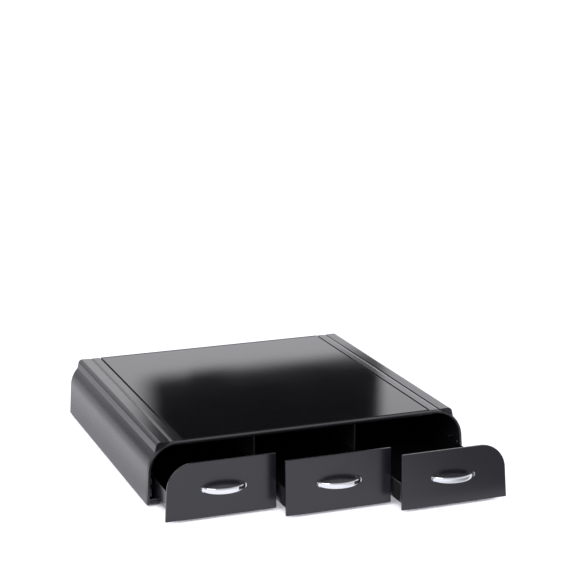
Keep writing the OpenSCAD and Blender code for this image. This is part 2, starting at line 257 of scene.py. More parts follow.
@dataclass
class Form:
    """Closed surfaces that become one mesh."""

    points: list[Array] = field(default_factory=list)
    faces: list[list[int]] = field(default_factory=list)
    count: int = 0

    def loft(self, rings: Array) -> None:
        """Joins rings of points with quads and closes both ends, with its faces outwards.

        The sign of the volume, a sixth of the sum of p0 . (p1 x p2) over the triangles, says which way the
        faces point.

        Args:
            rings: An array of rings, points and coordinates.
        """
        rows, columns = rings.shape[:2]
        index = np.arange(rows * columns).reshape(rows, columns)
        beside = np.roll(index, -1, axis=1)
        quads = np.stack([index[:-1], beside[:-1], beside[1:], index[1:]], axis=-1).reshape(-1, 4)
        caps = [index[0, ::-1], index[-1]]
        flat = rings.reshape(-1, 3)
        fans = [np.stack([np.full(columns - 2, c[0]), c[1:-1], c[2:]], axis=1) for c in caps]
        triangles = np.concatenate([quads[:, :3], quads[:, [0, 2, 3]], *fans])
        p0, p1, p2 = (flat[triangles[:, k]] for k in range(3))
        way = -1 if np.sum(p0 * np.cross(p1, p2)) < 0 else 1
        self.faces += (quads + self.count)[:, ::way].tolist()
        self.faces += [(c + self.count)[::way].tolist() for c in caps]
        self.points.append(flat)
        self.count += len(flat)

    def prism(self, outline: Array, axis: Axis, low: float, high: float, low_edge: float,
              high_edge: float, fall: Array | float = 0.0) -> None:
        """Adds an outline carried along an axis, with quarter-round edges at both ends.

        Args:
            outline: The points, one row each, anticlockwise.
            axis: The axis.
            low: The place of the low end along the axis.
            high: The place of the high end.
            low_edge: The radius of the edges at the low end.
            high_edge: The radius at the high end.
            fall: How far each point is drawn in besides at the low end, dying away evenly to the high end.
        """
        profile = edge_profile(low, high, low_edge, high_edge)
        inset, along = profile[:, :1, None], profile[:, 1:, None]
        inset = inset + (high - along) / (high - low) * np.reshape(fall, (-1, 1))
        drawn_in = outline + inset * inward_steps(outline)
        self.loft(axis.rings(drawn_in[..., 0], drawn_in[..., 1], along[..., 0]))

    def bar(self, low: Place, high: Place, edge: float = BAR_EDGE) -> None:
        """Adds a block with all of its edges rounded.

        Args:
            low: Its low corner.
            high: Its high corner.
            edge: The radius of its edges.
        """
        (x0, y0, z0), (x1, y1, z1) = low, high
        outline = rounded_rectangle((x0, z0), (x1, z1), tight_corner(edge), EDGE_STEPS)
        self.prism(outline, Axis.Y, y0, y1, edge, edge)

    def turned(self, profile: list[Pair], centre: Place, axis: Axis, steps: int = 48) -> None:
        """Adds a profile turned round an axis.

        Args:
            profile: Its points as (radius, height).
            centre: Where the height is 0 on the axis.
            axis: The axis.
            steps: How many points a ring has.
        """
        r, h = np.asarray(profile, float).T[..., None]
        angle = np.linspace(0, 2 * math.pi, steps, endpoint=False)
        self.loft(axis.rings(r * np.cos(angle), r * np.sin(angle), h) + np.asarray(centre))

    def mirrored(self, side: Side) -> "Form":
        """The form, or its mirror image in X with its faces still outwards.

        Args:
            side: The side of the casing that it is for.

        Returns:
            The form itself for the right, and the mirror image for the left.
        """
        if side is Side.RIGHT:
            return self
        flip = np.array([-1.0, 1.0, 1.0])
        return Form([p * flip for p in self.points], [f[::-1] for f in self.faces], self.count)

    def piece(self, name: str, body: str, nodes: list[str], slot: str, finish: Material) -> None:
        """Makes the mesh, gives it its finish and lets it stand for its CAD nodes.

        Args:
            name: The name of the piece.
            body: The CAD body that it rides on.
            nodes: The CAD nodes that it stands for.
            slot: The record's material slot; not used.
            finish: Its material.
        """
        mesh = bpy.data.meshes.new(name)
        mesh.from_pydata(np.concatenate(self.points).tolist(), [], self.faces)
        mesh.polygons.foreach_set("use_smooth", np.ones(len(mesh.polygons), bool))
        mesh.materials.append(finish)
        mesh.update()
        made = placed(name, mesh)
        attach(made, body)
        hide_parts(*nodes)
        LOG.info("%s: %d faces on %s", name, len(mesh.polygons), body)


# ---- Finishes ----------------------------------------------------------------------------------------------


def linear(hex_colour: str) -> tuple[float, float, float, float]:
    """Turns an sRGB hex colour into linear light.

    Each channel c becomes c / 12.92 up to 0.04045, and ((c + 0.055) / 1.055) ** 2.4 above it.

    Args:
        hex_colour: The colour, as in "#1a1a1e".

    Returns:
        Red, green, blue and alpha.
    """
    c = np.array([int(hex_colour[i:i + 2], 16) for i in (1, 3, 5)]) / 255
    c = np.where(c <= 0.04045, c / 12.92, ((c + 0.055) / 1.055) ** 2.4)
    return (*c.tolist(), 1.0)


def add_node(tree: NodeTree, kind: str, inputs: dict[Any, Any] | None = None, **settings: Any) -> Node:
    """Adds a node.

    Args:
        tree: The node tree it goes into.
        kind: The node's type.
        inputs: Its sockets by name or number, each a value or the output that it is linked to.
        **settings: Its properties.

    Returns:
        The node.
    """
    node = tree.nodes.new(kind)
    for name, value in settings.items():
        setattr(node, name, value)
    for name, value in (inputs or {}).items():
        if isinstance(value, Socket):
            tree.links.new(value, node.inputs[name])
        else:
            node.inputs[name].default_value = value
    return node


def blank_material(name: str) -> tuple[Material, NodeTree]:
    """Makes a material with no nodes.

    Args:
        name: Its name.

    Returns:
        The material and its node tree.
    """
    material = bpy.data.materials.new(name)
    material.use_nodes = True
    material.node_tree.nodes.clear()
    return material, material.node_tree


def object_place(tree: NodeTree) -> Socket:
    """The place of a shaded point in its object's own axes."""
    return add_node(tree, "ShaderNodeTexCoord").outputs["Object"]


def noise(tree: NodeTree, place: Socket, size: float, detail: float, rough: float) -> Socket:
    """Adds smooth noise.

    Args:
        tree: The node tree it goes into.
        place: Where the noise is taken.
        size: About how large its patches are.
        detail: How many finer noises are added to it.
        rough: The weight of each of them against the one before.

    Returns:
        The noise, about a half on average.
    """
    return add_node(tree, "ShaderNodeTexNoise", {
        "Vector": place, "Scale": 1 / size, "Detail": detail, "Roughness": rough}).outputs["Fac"]


def uneven(tree: NodeTree, value: Socket, level: float, change: float) -> Socket:
    """Lets a noise move a level up and down.

    Args:
        tree: The node tree it goes into.
        value: The noise.
        level: The level.
        change: How far it moves each way over NOISE_SPAN.

    Returns:
        The moved level.
    """
    return add_node(tree, "ShaderNodeMapRange", {
        "Value": value, "From Min": NOISE_SPAN[0], "From Max": NOISE_SPAN[1],
        "To Min": level - change, "To Max": level + change}).outputs["Result"]


def smooth_step(tree: NodeTree, value: Socket, span: Pair, ends: tuple[Any, Any]) -> Socket:
    """Adds a smooth step.

    Where q is the share of the span that the value has crossed, held to 0..1, the result is
    first end + (last end - first end) q^2 (3 - 2 q).

    Args:
        tree: The node tree it goes into.
        value: What crosses the span.
        span: Where the step starts and ends.
        ends: The result before and after it, each a number or an output.

    Returns:
        The result.
    """
    return add_node(tree, "ShaderNodeMapRange", {
        "Value": value, "From Min": span[0], "From Max": span[1], "To Min": ends[0], "To Max": ends[1],
    }, interpolation_type="SMOOTHSTEP").outputs["Result"]


def calculated(tree: NodeTree, operation: str, *values: Any) -> Socket:
    """The result of an operation on one to three values, each a number or an output."""
    return add_node(tree, "ShaderNodeMath", dict(enumerate(values)), operation=operation).outputs["Value"]


def principled(tree: NodeTree, inputs: dict[str, Any]) -> None:
    """Makes a Principled shader with these inputs the material's surface."""
    shader = add_node(tree, "ShaderNodeBsdfPrincipled", inputs)
    add_node(tree, "ShaderNodeOutputMaterial", {"Surface": shader.outputs["BSDF"]})


@dataclass(frozen=True)
class MouldedPlastic:
    """Injection-moulded plastic with the fine grain of a spark-eroded mould.

    The grain is a shallow relief of rounded bumps. It spreads reflections without breaking them up, and a
    slow change of gloss, from uneven cooling, keeps large faces from looking flat.
    """

    name: str
    colour: str
    roughness: float
    grain: float = 1.4 * MM
    relief: float = 0.012 * MM
    specular: float = 0.5
    gloss_change: float = 0.012
    patch: float = 60 * MM
    ior: float = 1.54

    def material(self) -> Material:
        """Builds the material.

        Returns:
            The material.
        """
        material, tree = blank_material(self.name)
        place = object_place(tree)
        bumps = noise(tree, place, self.grain, detail=1.0, rough=0.4)
        relief = add_node(tree, "ShaderNodeBump", {"Height": bumps, "Strength": 1.0, "Distance": self.relief})
        patches = noise(tree, place, self.patch, detail=2.0, rough=0.5)
        principled(tree, {
            "Base Color": linear(self.colour), "IOR": self.ior, "Specular IOR Level": self.specular,
            "Roughness": uneven(tree, patches, self.roughness, self.gloss_change),
            "Normal": relief.outputs["Normal"]})
        return material


@dataclass(frozen=True)
class PlatedMetal:
    """Metal with an even plated or rolled surface.

    Fine marks from polishing change its gloss a little, so that highlights have soft ends.
    """

    name: str
    colour: str
    roughness: float
    mark: float = 0.6 * MM
    gloss_change: float = 0.02

    def material(self) -> Material:
        """Builds the material.

        Returns:
            The material.
        """
        material, tree = blank_material(self.name)
        marks = noise(tree, object_place(tree), self.mark, detail=2.0, rough=0.6)
        principled(tree, {
            "Base Color": linear(self.colour), "Metallic": 1.0,
            "Roughness": uneven(tree, marks, self.roughness, self.gloss_change)})
        return material


# ---- Casing ------------------------------------------------------------------------------------------------


@dataclass(frozen=True)
class Arch:
    """The casing's section: walls that lean in and run tangent into round shoulders, and a flat top.

    z is measured from the casing's lower edge, which stands on the feet at the height base.
    """

    half_width: float
    height: float
    base: float
    shoulder: float = 30 * MM
    wall: float = 3 * MM
    lean: float = math.radians(3.6)

    def wall_x(self, z: float, inset: float) -> float:
        """Where the wall, moved in by inset, is at the height z."""
        return self.half_width - inset / math.cos(self.lean) - z * math.tan(self.lean)

    def shoulder_corner(self, inset: float, top: float) -> Pair:
        """Where the wall, moved in by inset, would meet a flat top at the height top with no shoulder."""
        return self.wall_x(top, inset), top

    def centre(self) -> Pair:
        """The middle of the right-hand shoulder's arc."""
        z = self.height - self.shoulder
        return self.wall_x(z, self.shoulder), z

    def on_shoulder(self, angle: float, radius: float) -> Pair:
        """A point at an angle above the horizontal, at a radius from the shoulder's middle."""
        x, z = self.centre()
        return x + radius * math.cos(angle), z + radius * math.sin(angle)

    def lifted(self, outline: Array) -> Array:
        """An outline drawn from the casing's lower edge, raised onto the feet."""
        return outline + np.array([0.0, self.base])


@dataclass
class FrontFrame:
    """The thin arch round the drawer opening, with the lip and tongues that hold it to the panels.

    Its top falls forward by top_fall, and its walls are drawn in by the share side_fall of that.
    """

    arch: Arch
    front: float
    depth: float = 3.6 * MM
    front_edge: float = 0.4 * MM
    top_fall: float = 0.85 * MM
    side_fall: float = 0.25
    back_edge: float = 0.3 * MM
    leg_end: float = 1.0 * MM
    lip_back: float = 9.6 * MM
    lip_start: float = 2.9 * MM
    lip_half: float = 125 * MM
    lip_low: float = 56.8 * MM
    lip_high: float = 59.1 * MM
    tongue: float = 1.4 * MM
    tongue_gap: float = 0.4 * MM
    tongue_edge: float = 0.2 * MM
    tongue_spans: tuple[Pair, ...] = ((8 * MM, 16 * MM), (20 * MM, 26 * MM))

    def outline(self) -> Array:
        """The arch's outline, round the outside from the right and back along the opening.

        Returns:
            The points of the outline, one row each, anticlockwise.
        """
        a = self.arch
        inner_x, inner_top = a.shoulder_corner(a.wall, a.height - a.wall)
        right = [(a.wall_x(0, a.wall), 0.0), (a.wall_x(0, 0), 0.0), a.shoulder_corner(0, a.height)]
        half = [self.leg_end, self.leg_end, a.shoulder]
        inside = [(-inner_x, inner_top), (inner_x, inner_top)]
        radii = [*half, *reversed(half), *[a.shoulder - a.wall] * len(inside)]
        return a.lifted(rounded_outline([*both_sides(right), *inside], radii, FINE_ARC_STEPS))

    def fall(self, outline: Array) -> Array:
        """How far each point of the outline falls: top_fall on the top, and side_fall of that on the sides.

        Between them it goes by how far the point's inward step points down.

        Args:
            outline: The points, one row each.

        Returns:
            The fall of each point.
        """
        steps = inward_steps(outline)
        facing_up = np.clip(-steps[:, 1] / np.linalg.norm(steps, axis=1), 0, 1)
        return self.top_fall * (self.side_fall + (1 - self.side_fall) * facing_up)

    def build(self, finish: Material) -> None:
        """Builds the arch as one extruded outline, with its lip and tongues.

        Args:
            finish: Its plastic.
        """
        a = self.arch
        start, back = self.front + self.lip_start, self.front + self.lip_back
        lip_low, lip_high = a.base + self.lip_low, a.base + self.lip_high
        outline = self.outline()
        form = Form()
        form.prism(outline, Axis.Y, self.front, self.front + self.depth, self.front_edge, self.back_edge,
                   self.fall(outline))
        form.bar((-self.lip_half, start, lip_low), (self.lip_half, back, lip_high))
        for low, high in self.tongue_spans:
            x = a.half_width - a.wall - high * math.tan(a.lean) - self.tongue_gap
            for side in Side:
                ends = sorted([side.value * x, side.value * (x - self.tongue)])
                form.bar((ends[0], start, a.base + low), (ends[1], back, a.base + high), self.tongue_edge)
        form.piece("front_frame_moulding", "casing", ["front_frame"], "casing_abs", finish)


@dataclass
class SidePanel:
    """A moulded side: leaning wall, round shoulder, and on it the rail, with a groove beside the inner band.

    band, groove_z, rail and crest are heights above the front frame. The band rounds off towards the groove.
    """

    arch: Arch
    side: Side
    front: float
    back: float
    joint: float = 133.2 * MM
    band_end: float = 141.2 * MM
    groove_x: float = 143.6 * MM
    rail_x: float = 144.4 * MM
    crest_x: float = 157.4 * MM
    band: float = 0.1 * MM
    groove_z: float = -0.4 * MM
    rail: float = 0.15 * MM
    crest: float = 0.53 * MM
    rail_foot: float = math.radians(43)
    crest_radius: float = 4.8 * MM
    band_radius: float = 18 * MM
    foot_radius: float = 0.6 * MM
    upper_radius: float = 0.5 * MM
    groove_radius: float = 0.2 * MM
    inner_radius: float = 0.25 * MM
    foot_run: float = 0.3 * MM
    edge: float = 0.4 * MM
    ledge: float = 8 * MM
    ledge_top: float = 59.1 * MM
    ledge_low: float = 56.8 * MM
    rib: float = 1.6 * MM
    rib_front: float = 9.8 * MM
    rib_back: float = 3.1 * MM
    ribs: tuple[Pair, ...] = ((161.4 * MM, 12.1 * MM), (159.5 * MM, 26.7 * MM))
    flange_x: float = 153 * MM
    flange_low: float = 2.8 * MM
    flange_high: float = 5.0 * MM
    flange_back: float = 2.8 * MM

    def outline(self) -> Array:
        """The section of the right-hand panel.

        The shoulder's arc is the rounding of the corner where the wall's line meets the tangent at the rail's
        foot: it lies at r / cos((foot - lean) / 2) from the arc's middle, at the mean of the two angles.

        Returns:
            The points of the outline, one row each, anticlockwise.
        """
        a = self.arch
        spread = (self.rail_foot - a.lean) / 2
        shoulder = a.on_shoulder((self.rail_foot + a.lean) / 2, a.shoulder / math.cos(spread))
        foot = np.array(a.on_shoulder(self.rail_foot, a.shoulder))
        foot = foot + self.foot_run * np.array([-math.sin(self.rail_foot), math.cos(self.rail_foot)])
        band = a.height + self.band
        inner_top = a.height - a.wall
        inner = a.shoulder_corner(a.wall, inner_top)
        hollow_x = self.joint + a.wall
        ledge_x = self.joint - self.ledge
        small = tight_corner(self.edge)
        shape = [
            ((a.wall_x(0, a.wall), 0.0), small),
            ((a.wall_x(0, 0), 0.0), self.foot_radius),
            (shoulder, a.shoulder),
            (tuple(foot), self.foot_radius),
            ((self.crest_x, a.height + self.crest), self.crest_radius),
            ((self.rail_x, a.height + self.rail), self.upper_radius),
            ((self.groove_x, a.height + self.groove_z), self.groove_radius),
            ((self.band_end, band), self.band_radius),
            ((self.joint, band), self.upper_radius),
            ((self.joint, self.ledge_top), self.inner_radius),
            ((ledge_x, self.ledge_top), small),
            ((ledge_x, self.ledge_low), small),
            ((hollow_x, self.ledge_low), small),
            ((hollow_x, inner_top), self.inner_radius),
            (inner, a.shoulder - a.wall),
        ]
        corners, radii = map(list, zip(*shape))
        return a.lifted(rounded_outline(corners, radii, FINE_ARC_STEPS))

    def build(self, finish: Material) -> None:
        """Builds the panel with its flange and the two ribs that guide the tray.

        Args:
            finish: Its plastic.
        """
        a = self.arch
        form = Form()
        form.prism(self.outline(), Axis.Y, self.front, self.back, self.edge, self.edge)
        into_wall = a.wall / 2
        for x, z in self.ribs:
            form.bar((x, self.front + self.rib_front, a.base + z),
                     (a.wall_x(z, a.wall) + into_wall, self.back - self.rib_back, a.base + z + self.rib))
        form.bar((self.flange_x, self.front, a.base + self.flange_low),
                 (a.wall_x(self.flange_high, a.wall) + into_wall, self.back - self.flange_back,
                  a.base + self.flange_high))
        name = f"{self.side.name.lower()}_side_panel"
        form.mirrored(self.side).piece(f"{name}_moulding", "casing", [name], "casing_abs", finish)


@dataclass
class TopPanel:
    """The flat panel let in between the side bands, with stiffening ribs below."""

    low: Vector
    high: Vector
    side_inset: float = 0.6 * MM
    thickness: float = 2.6 * MM
    edge: float = 0.35 * MM
    corner: float = 0.8 * MM
    pitch: float = 108.2 * MM
    rib_offset: float = 15 * MM
    rib: float = 1.6 * MM
    rib_front: float = 7 * MM
    rib_back: float = 2 * MM

    def build(self, finish: Material) -> None:
        """Builds the plate and, on either side of the middle of each bay, a rib.

        Args:
            finish: Its plastic.
        """
        (x0, y0, z0), (x1, y1, z1) = self.low, self.high
        plate = rounded_rectangle((x0 + self.side_inset, y0), (x1 - self.side_inset, y1), self.corner)
        form = Form()
        form.prism(plate, Axis.Z, z1 - self.thickness, z1, self.edge, self.edge)
        for bay in Bay:
            for offset in (-self.rib_offset, self.rib_offset):
                x = bay.value * self.pitch + offset
                form.bar((x - self.rib / 2, y0 + self.rib_front, z0),
                         (x + self.rib / 2, y1 - self.rib_back, z1 - self.thickness / 2))
        form.piece("top_panel_moulding", "casing", ["top_panel"], "top_abs", finish)


@dataclass
class RearPanel:
    """The panel that closes the back, under the arch of the side panels."""

    arch: Arch
    low: Vector
    high: Vector
    gap: float = 0.2 * MM
    strip: float = 132.1 * MM
    strip_radius: float = 0.25 * MM
    edge: float = 0.4 * MM

    def build(self, finish: Material) -> None:
        """Builds the panel as one extruded outline, whose raised middle strip meets the top panel.

        Args:
            finish: Its plastic.
        """
        a = self.arch
        inset = a.wall + self.gap
        shoulder_top = a.height - inset
        corners = both_sides([(a.wall_x(0, inset), 0.0), a.shoulder_corner(inset, shoulder_top),
                              (self.strip, shoulder_top), (self.strip, self.high.z - a.base)])
        small = tight_corner(self.edge)
        half = [small, a.shoulder - inset, self.strip_radius, small]
        outline = a.lifted(rounded_outline(corners, [*half, *reversed(half)], FINE_ARC_STEPS))
        form = Form()
        form.prism(outline, Axis.Y, self.low.y, self.high.y, self.edge, self.edge)
        form.piece("rear_panel_moulding", "casing", ["rear_panel"], "casing_abs", finish)


@dataclass(frozen=True)
class ScrewHead:
    """A screw's head with a cross recess, and its shank.

    core is the radius of the smallest ring of the face, as a share of the head's. The recess fades out over
    side_ease of an arm's width beside the arm, and over end_ease of its length at its end.
    """

    radius: float = 2.7 * MM
    height: float = 1.5 * MM
    dome: float = 0.5 * MM
    shank: float = 1.25 * MM
    length: float = 5 * MM
    arm: float = 1.5 * MM
    slot: float = 0.6 * MM
    depth: float = 0.9 * MM
    side_ease: float = 0.2
    end_ease: float = 0.3
    core: float = 0.03
    rows: int = 26
    around: int = 72

    def recess(self, r: Array, angle: Array) -> Array:
        """How deep the cross recess is.

        The distance across the nearest arm is r sin(q), where q is the angle from that arm. The recess has
        its full depth within half the width of an arm, and its floor rises to nothing at the arm's end.

        Args:
            r: The radius of each ring.
            angle: The angle of each point.

        Returns:
            The depth for each ring and point.
        """
        q = np.abs((angle + math.pi / 4) % (math.pi / 2) - math.pi / 4)
        across = r * np.sin(q)
        sides = np.clip((self.slot / 2 - across) / (self.side_ease * self.slot) + 1, 0, 1)
        ends = np.clip((self.arm - r) / (self.end_ease * self.arm), 0, 1)
        return self.depth * sides * ends

    def add_to(self, form: Form, centre: Place, axis: Axis, out: float) -> None:
        """Adds a screw to a form.

        The face is a polar grid. Its height at a radius r is height - dome (r / radius)^2 less the recess.

        Args:
            form: The form it goes into.
            centre: The middle of the head's underside.
            axis: The screw's axis.
            out: The side that the head is on, 1 or -1 along the axis.
        """
        angle = np.linspace(0, 2 * math.pi, self.around, endpoint=False)[None]
        r = np.linspace(self.core, 1, self.rows)[:, None] * self.radius
        face = self.height - self.dome * (r / self.radius) ** 2 - self.recess(r, angle)
        radii = np.concatenate([np.broadcast_to(r, face.shape), np.full((1, self.around), self.radius),
                                np.full((2, self.around), self.shank)])
        heights = np.concatenate([face, np.zeros((2, self.around)), np.full((1, self.around), -self.length)])
        rings = axis.rings(radii * np.cos(angle), radii * np.sin(angle), out * heights)
        form.loft(rings + np.asarray(centre))


@dataclass
class Underside:
    """What is under the casing: base panel, dividers, screws and rubber feet."""

    base: float
    head: ScrewHead = ScrewHead(height=0.1 * MM, dome=0.05 * MM, length=4.6 * MM, depth=0.8 * MM)
    screw_x: Pair = (158.5 * MM, 50.5 * MM)
    screw_y: tuple[float, ...] = (-140 * MM, 0.0, 140 * MM)
    head_in: float = 0.25 * MM
    foot: float = 8 * MM
    foot_edge: float = 0.8 * MM
    foot_core: float = 0.5 * MM

    def build_screws(self, finish: Material) -> None:
        """Builds the countersunk screws that hold the base.

        Args:
            finish: Their metal.
        """
        form = Form()
        for side in Side:
            for x in self.screw_x:
                for y in self.screw_y:
                    self.head.add_to(form, (side.value * x, y, self.base + self.head_in), Axis.Z, -1.0)
        form.piece("base_screw_heads", "casing", ["base_screws"], "screw_steel", finish)

    def build_feet(self, finish: Material) -> None:
        """Builds a turned rubber disc, with a rounded lower edge, over each CAD foot.

        Args:
            finish: Their rubber.
        """
        flat = self.foot - self.foot_edge - HOLD
        lower_edge = quarter_round(self.foot_edge) * [-1, 1] + [self.foot, 0]
        for node in ("front_left_foot", "front_right_foot", "rear_left_foot", "rear_right_foot"):
            low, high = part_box(node)
            middle = (low + high) / 2
            profile = [(self.foot_core, 0.0), (flat, 0.0), *map(tuple, lower_edge),
                       (self.foot, high.z - HOLD), (self.foot, high.z), (self.foot_core, high.z)]
            form = Form()
            form.turned(profile, (middle.x, middle.y, 0.0), Axis.Z)
            form.piece(f"{node}_pad", "casing", [node], "foot_rubber", finish)

    def dress(self, finish: Material) -> None:
        """Gives the CAD nodes that keep their own mesh their finish.

        Args:
            finish: Their plastic.
        """
        for node in ("base_panel", "left_divider", "right_divider"):
            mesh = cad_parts[node].data
            mesh.materials.clear()
            mesh.materials.append(finish)
            LOG.info("%s: keeps its CAD mesh", node)


# ---- Drawers -----------------------------------------------------------------------------------------------


@dataclass
class Tray:
    """An open tray: low walls with round corners, a taller front wall and the stop tab underneath."""

    bay: Bay
    wall: float = 1.6 * MM
    wall_height: float = 20 * MM
    corner: float = 5 * MM
    floor: float = 1.8 * MM
    bottom_edge: float = 1.4 * MM
    floor_edge: float = 2.2 * MM
    rim_edge: float = 0.5 * MM
    front_wall: float = 2 * MM
    front_half: float = 50 * MM
    front_height: float = 34 * MM
    front_corner: float = 6 * MM
    front_edge: float = 0.3 * MM
    front_back_edge: float = 0.5 * MM
    tab_half: float = 12 * MM
    tab_length: float = 2.5 * MM
    tab_drop: float = 2.9 * MM
    tab_root: float = 0.5 * MM
    tab_back: float = 75 * MM

    def wall_profile(self, base: float) -> Array:
        """The wall's section, from under the floor, over the rim, onto the floor.

        Args:
            base: The height of the tray's underside.

        Returns:
            Rows of (inset, height).
        """
        low, rim, inner = self.bottom_edge, self.rim_edge, self.floor_edge
        foot, lip, fillet = (quarter_round(radius, EDGE_STEPS + 2) for radius in (low, rim, inner))
        top, floor = base + self.wall_height, base + self.floor
        return np.concatenate([
            [[low + HOLD, base]], foot + [0, base], [[0, base + low + HOLD], [0, top - rim - HOLD]],
            lip[:, ::-1] * [1, -1] + [0, top], [self.wall, top] - lip,
            [[self.wall, top - rim - HOLD], [self.wall, floor + inner + HOLD]],
            fillet[:, ::-1] + [self.wall, floor], [[self.wall + inner + HOLD, floor]]])

    def build(self, finish: Material) -> None:
        """Builds the tray: its wall's section carried round the plan, the front wall and the tab.

        Args:
            finish: Its plastic.
        """
        node = self.bay.named("tray")
        low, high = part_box(node)
        base = high.z - self.front_height
        plan = rounded_rectangle((low.x, low.y), (high.x, high.y), self.corner)
        profile = self.wall_profile(base)
        drawn_in = plan + profile[:, :1, None] * inward_steps(plan)
        form = Form()
        form.loft(Axis.Z.rings(drawn_in[..., 0], drawn_in[..., 1], profile[:, 1:]))
        middle = (low.x + high.x) / 2
        front = rounded_rectangle((middle - self.front_half, base), (middle + self.front_half, high.z),
                                  self.front_corner)
        form.prism(front, Axis.Y, low.y, low.y + self.front_wall, self.front_edge, self.front_back_edge)
        tab_y = high.y - self.tab_back
        form.bar((middle - self.tab_half, tab_y, low.z),
                 (middle + self.tab_half, tab_y + self.tab_length, low.z + self.tab_drop + self.tab_root))
        form.piece(f"{node}_moulding", self.bay.named("drawer"), [node], "tray_abs", finish)


@dataclass
class DrawerFront:
    """The plate in front of a tray. Those at the sides follow the casing's wall and shoulder."""

    bay: Bay
    arch: Arch
    gap: float = 0.4 * MM
    corner: float = 26.5 * MM
    edge: float = 0.5 * MM
    small: float = 0.8 * MM

    def outline(self, low: Vector, high: Vector) -> Array:
        """The plate's outline.

        Args:
            low: The low corner of the CAD node's box.
            high: Its high corner.

        Returns:
            The points of the outline, one row each, anticlockwise.
        """
        if self.bay is Bay.MIDDLE:
            return rounded_rectangle((low.x, low.z), (high.x, high.z), self.small, FINE_ARC_STEPS)
        base = self.arch.base
        inset = self.arch.wall + self.gap
        inner_x = min(abs(low.x), abs(high.x))
        shoulder_x, _ = self.arch.shoulder_corner(inset, high.z - base)
        corners = [(inner_x, low.z), (self.arch.wall_x(low.z - base, inset), low.z), (shoulder_x, high.z),
                   (inner_x, high.z)]
        outline = rounded_outline(corners, [self.small, self.small, self.corner, self.small], FINE_ARC_STEPS)
        return outline if self.bay is Bay.RIGHT else (outline * np.array([-1.0, 1.0]))[::-1]

    def build(self, finish: Material) -> None:
        """Builds the plate.

        Args:
            finish: Its plastic.
        """
        node = self.bay.named("front")
        low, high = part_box(node)
        form = Form()
        form.prism(self.outline(low, high), Axis.Y, low.y, high.y, self.edge, self.edge)
        form.piece(f"{node}_plate", self.bay.named("drawer"), [node], "front_abs", finish)


@dataclass
class Handle:
    """A bow handle: a crowned band bent to an arc, cut flat where it meets the drawer front."""

    bay: Bay
    thickness: float = 3 * MM
    crown: float = 2.6
    end_taper: float = 0.2
    foot: float = 2.6 * MM
    foot_length: float = 3 * MM
    foot_in: float = 3.2 * MM
    foot_edge: float = 0.3 * MM
    foot_core: float = 0.3 * MM
    rows: int = 97
    around: int = 56

    def band(self, low: Vector, high: Vector) -> Array:
        """The band's surface.

        Its section is a superellipse |a|^n + |b|^n = 1, with n the crown. A point of it at the radius q from
        the arc's middle runs over the angles t acos(d / q), with t from -1 to 1 and d the distance from the
        middle to the drawer front, so that both ends lie in the front's plane. The section is lower at the
        ends by end_taper t^4.

        Args:
            low: The low corner of the CAD node's box.
            high: Its high corner.

        Returns:
            An array of rings, points and coordinates.
        """
        out = high.y - low.y
        half_width, half_height = (high.x - low.x) / 2, (high.z - low.z) / 2
        radius = (half_width ** 2 + out ** 2) / (2 * out)
        to_front = radius - out
        middle = (low + high) / 2
        u = np.linspace(0, 2 * math.pi, self.around, endpoint=False)[None]
        t = np.linspace(-1, 1, self.rows)[:, None]
        a = np.sign(np.cos(u)) * np.abs(np.cos(u)) ** (2 / self.crown)
        b = np.sign(np.sin(u)) * np.abs(np.sin(u)) ** (2 / self.crown)
        reach = radius - self.thickness / 2 + self.thickness / 2 * a
        angle = t * np.arccos(to_front / reach)
        return np.stack([
            middle.x + reach * np.sin(angle),
            high.y + to_front - reach * np.cos(angle),
            middle.z + half_height * b * (1 - self.end_taper * t ** 4)], axis=2)

    def foot_profile(self) -> list[Pair]:
        """A foot's profile, from its end in the band to the drawer front.

        Returns:
            Its points as (radius, distance behind the face of the drawer front).
        """
        edge, end = self.foot_edge, -self.foot_length
        return [(self.foot_core, end), (self.foot - edge - HOLD, end), (self.foot - edge / 3, end + edge / 3),
                (self.foot, end + edge), (self.foot, -HOLD), (self.foot, 0.0), (self.foot_core, 0.0)]

    def build(self, finish: Material) -> None:
        """Builds the band and its two feet.

        Args:
            finish: Its metal.
        """
        node = self.bay.named("handle")
        low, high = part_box(node)
        middle = (low + high) / 2
        form = Form()
        form.loft(self.band(low, high))
        for side in Side:
            x = middle.x + side.value * ((high.x - low.x) / 2 - self.foot_in)
            form.turned(self.foot_profile(), (x, high.y, middle.z), Axis.Y)
        form.piece(f"{node}_bow", self.bay.named("drawer"), [node], "handle_chrome", finish)


@dataclass
class Drawer:
    """A drawer: tray, front, handle and the screws that hold the handle on."""

    bay: Bay
    arch: Arch
    head: ScrewHead = ScrewHead(length=6 * MM)

    def build_screws(self, finish: Material) -> None:
        """Builds the two screws inside the tray's front wall.

        Args:
            finish: Their metal.
        """
        node = self.bay.named("handle_screws")
        low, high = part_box(node)
        form = Form()
        for x in (low.x + self.head.radius, high.x - self.head.radius):
            self.head.add_to(form, (x, high.y - self.head.height, (low.z + high.z) / 2), Axis.Y, 1.0)
        form.piece(f"{node}_pan", self.bay.named("drawer"), [node], "screw_steel", finish)

    def build(self, tray: Material, front: Material, chrome: Material, steel: Material) -> None:
        """Builds the drawer's pieces.

        Args:
            tray: The tray's plastic.
            front: The front's plastic.
            chrome: The handle's metal.
            steel: The screws' metal.
        """
        Tray(self.bay).build(tray)
        DrawerFront(self.bay, self.arch).build(front)
        Handle(self.bay).build(chrome)
        self.build_screws(steel)


# ---- Studio ------------------------------------------------------------------------------------------------


